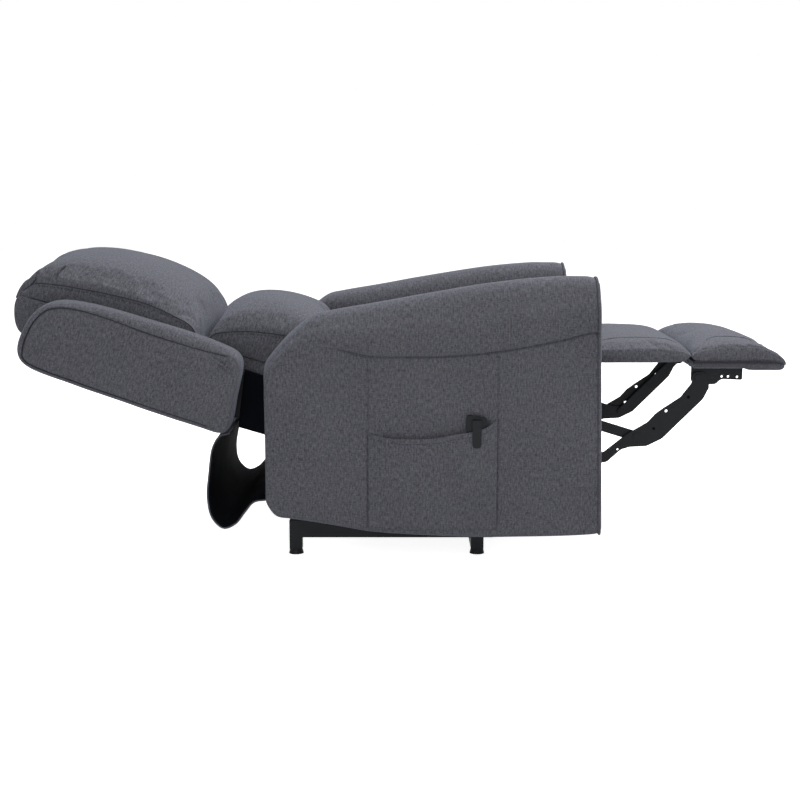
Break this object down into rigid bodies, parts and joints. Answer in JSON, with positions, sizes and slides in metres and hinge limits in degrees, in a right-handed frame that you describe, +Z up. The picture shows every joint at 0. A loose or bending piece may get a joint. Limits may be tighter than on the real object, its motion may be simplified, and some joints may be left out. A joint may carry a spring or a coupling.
{
  "type": "power lift recliner chair",
  "caption": "Upholstered power lift recliner: tilting lift base, reclining back with loose pillows, folding footrest, side pocket with a handset.",
  "frame": {"origin": "floor point under the centre of the reclined chair", "axes": "+X to the front of the chair, +Y to the sitter's left, +Z up"},
  "size_m": [1.7572, 0.7571, 0.7159],
  "materials": {
    "charcoal_fabric": "woven, matt",
    "black_lining": "thin non-woven, matt",
    "webbing": "woven strap",
    "frame_wood": "raw plywood",
    "black_steel": "satin powder coat",
    "zinc_steel": "zinc plated",
    "rod_steel": "drawn tube",
    "motor_plastic": "matt",
    "handset_plastic": "fine grain",
    "button_rubber": "matt",
    "foot_rubber": "matt"
  },
  "bodies": {
    "base": {"base_frame": "black_steel", "base_feet": "foot_rubber", "base_pins": "zinc_steel"},
    "front_lift_link_pair": {"front_lift_links": "black_steel"},
    "rear_lift_link_pair": {"rear_lift_links": "black_steel"},
    "chassis": {"mechanism_side_plates": "black_steel", "seat_pivot_pins": "zinc_steel", "seat_frame": "frame_wood", "seat_webbing": "webbing", "seat_cushion": "charcoal_fabric", "left_arm_frame": "frame_wood", "right_arm_frame": "frame_wood", "left_arm_cover": "charcoal_fabric", "right_arm_cover": "charcoal_fabric", "left_arm_facing": "charcoal_fabric", "right_arm_facing": "charcoal_fabric", "handset_pocket": "charcoal_fabric", "motor_cross_member": "black_steel", "back_motor_housing": "motor_plastic", "back_motor_can": "motor_plastic", "rear_skirt": "black_lining"},
    "back": {"recline_shaft": "zinc_steel", "recline_lever": "black_steel", "back_brackets": "black_steel", "back_frame": "frame_wood", "back_side_lining": "black_lining", "outer_back_panel": "black_lining", "back_pad": "charcoal_fabric", "left_wing": "charcoal_fabric", "right_wing": "charcoal_fabric", "head_pillow": "charcoal_fabric", "lumbar_pillow": "charcoal_fabric"},
    "back_rod": {"back_motor_rod": "rod_steel"},
    "crank_pair": {"drive_cranks": "black_steel"},
    "rear_crank_pair": {"rear_cranks": "black_steel"},
    "long_link_pair": {"long_footrest_links": "black_steel"},
    "twin_link_pair": {"twin_footrest_links": "black_steel"},
    "ottoman": {"ottoman_brackets": "black_steel", "ottoman_board": "frame_wood", "ottoman_pad": "charcoal_fabric", "chaise_pad": "charcoal_fabric"},
    "lift_motor": {"lift_motor_housing": "motor_plastic", "lift_motor_can": "motor_plastic"},
    "lift_rod": {"lift_motor_rod": "rod_steel"},
    "handset": {"handset_case": "handset_plastic", "handset_clip": "handset_plastic"},
    "button_1": {"handset_button_1": "button_rubber"},
    "button_2": {"handset_button_2": "button_rubber"},
    "button_3": {"handset_button_3": "button_rubber"},
    "button_4": {"handset_button_4": "button_rubber"}
  },
  "joints": [
    {"name": "lift", "type": "hinge", "parent": "base", "child": "front_lift_link_pair", "pos_m": [0.15, 0, 0.07], "axis": [0, 1, 0], "range_deg": [0, 50]},
    {"name": "seat_tilt", "type": "hinge", "parent": "front_lift_link_pair", "child": "chassis", "pos_m": [-0.17, 0, 0.12], "axis": [0, 1, 0], "range_deg": [-25, 0]},
    {"name": "rear_link_swing", "type": "hinge", "parent": "base", "child": "rear_lift_link_pair", "pos_m": [0.1864, 0, 0.0534], "axis": [0, 1, 0], "range_deg": [0, 56.8]},
    {"name": "lift_motor_swing", "type": "hinge", "parent": "base", "child": "lift_motor", "pos_m": [0.18, -0.075, 0.09], "axis": [0, 1, 0], "range_deg": [0, 42.3]},
    {"name": "lift_rod_slide", "type": "slide", "parent": "lift_motor", "child": "lift_rod", "axis": [-0.4167, 0, 0.9091], "range_m": [0, 0.0995]},
    {"name": "recline", "type": "hinge", "parent": "chassis", "child": "back", "pos_m": [-0.195, 0, 0.375], "axis": [0, 1, 0], "range_deg": [0, 55], "deforming": ["rear_skirt"]},
    {"name": "back_rod_slide", "type": "slide", "parent": "chassis", "child": "back_rod", "axis": [-1, 0, 0], "range_m": [0, 0.0923]},
    {"name": "footrest", "type": "hinge", "parent": "chassis", "child": "crank_pair", "pos_m": [0.297, 0, 0.348], "axis": [0, 1, 0], "range_deg": [0, 90]},
    {"name": "rear_crank_swing", "type": "hinge", "parent": "chassis", "child": "rear_crank_pair", "pos_m": [0.214, 0, 0.299], "axis": [0, 1, 0], "range_deg": [0, 90]},
    {"name": "long_link_swing", "type": "hinge", "parent": "crank_pair", "child": "long_link_pair", "pos_m": [0.545, 0, 0.271], "axis": [0, 1, 0], "range_deg": [-90, 0]},
    {"name": "twin_link_swing", "type": "hinge", "parent": "crank_pair", "child": "twin_link_pair", "pos_m": [0.573, 0, 0.268], "axis": [0, 1, 0], "range_deg": [-90, 0]},
    {"name": "ottoman_swing", "type": "hinge", "parent": "long_link_pair", "child": "ottoman", "pos_m": [0.686, 0, 0.411], "axis": [0, 1, 0], "range_deg": [0, 90]},
    {"name": "handset_slide", "type": "slide", "parent": "chassis", "child": "handset", "axis": [0, 0, 1], "range_m": [0, 0.13]},
    {"name": "button_1_press", "type": "slide", "parent": "handset", "child": "button_1", "axis": [0, -1, 0], "range_m": [0, 0.001], "stiffness_N_per_m": 400},
    {"name": "button_2_press", "type": "slide", "parent": "handset", "child": "button_2", "axis": [0, -1, 0], "range_m": [0, 0.001], "stiffness_N_per_m": 400},
    {"name": "button_3_press", "type": "slide", "parent": "handset", "child": "button_3", "axis": [0, -1, 0], "range_m": [0, 0.001], "stiffness_N_per_m": 400},
    {"name": "button_4_press", "type": "slide", "parent": "handset", "child": "button_4", "axis": [0, -1, 0], "range_m": [0, 0.001], "stiffness_N_per_m": 400}
  ],
  "couplings": [
    {"joint": "seat_tilt", "follows": "lift", "ratio": -0.5},
    {"joint": "rear_link_swing", "follows": "lift", "ratio": 1.1341},
    {"joint": "lift_motor_swing", "follows": "lift", "ratio": 0.8427},
    {"joint": "lift_rod_slide", "follows": "lift", "m_per_rad": 0.1139},
    {"joint": "back_rod_slide", "follows": "recline", "m_per_rad": 0.0961},
    {"joint": "rear_crank_swing", "follows": "footrest", "ratio": 1},
    {"joint": "long_link_swing", "follows": "footrest", "ratio": -1},
    {"joint": "twin_link_swing", "follows": "footrest", "ratio": -1},
    {"joint": "ottoman_swing", "follows": "footrest", "ratio": 1}
  ]
}
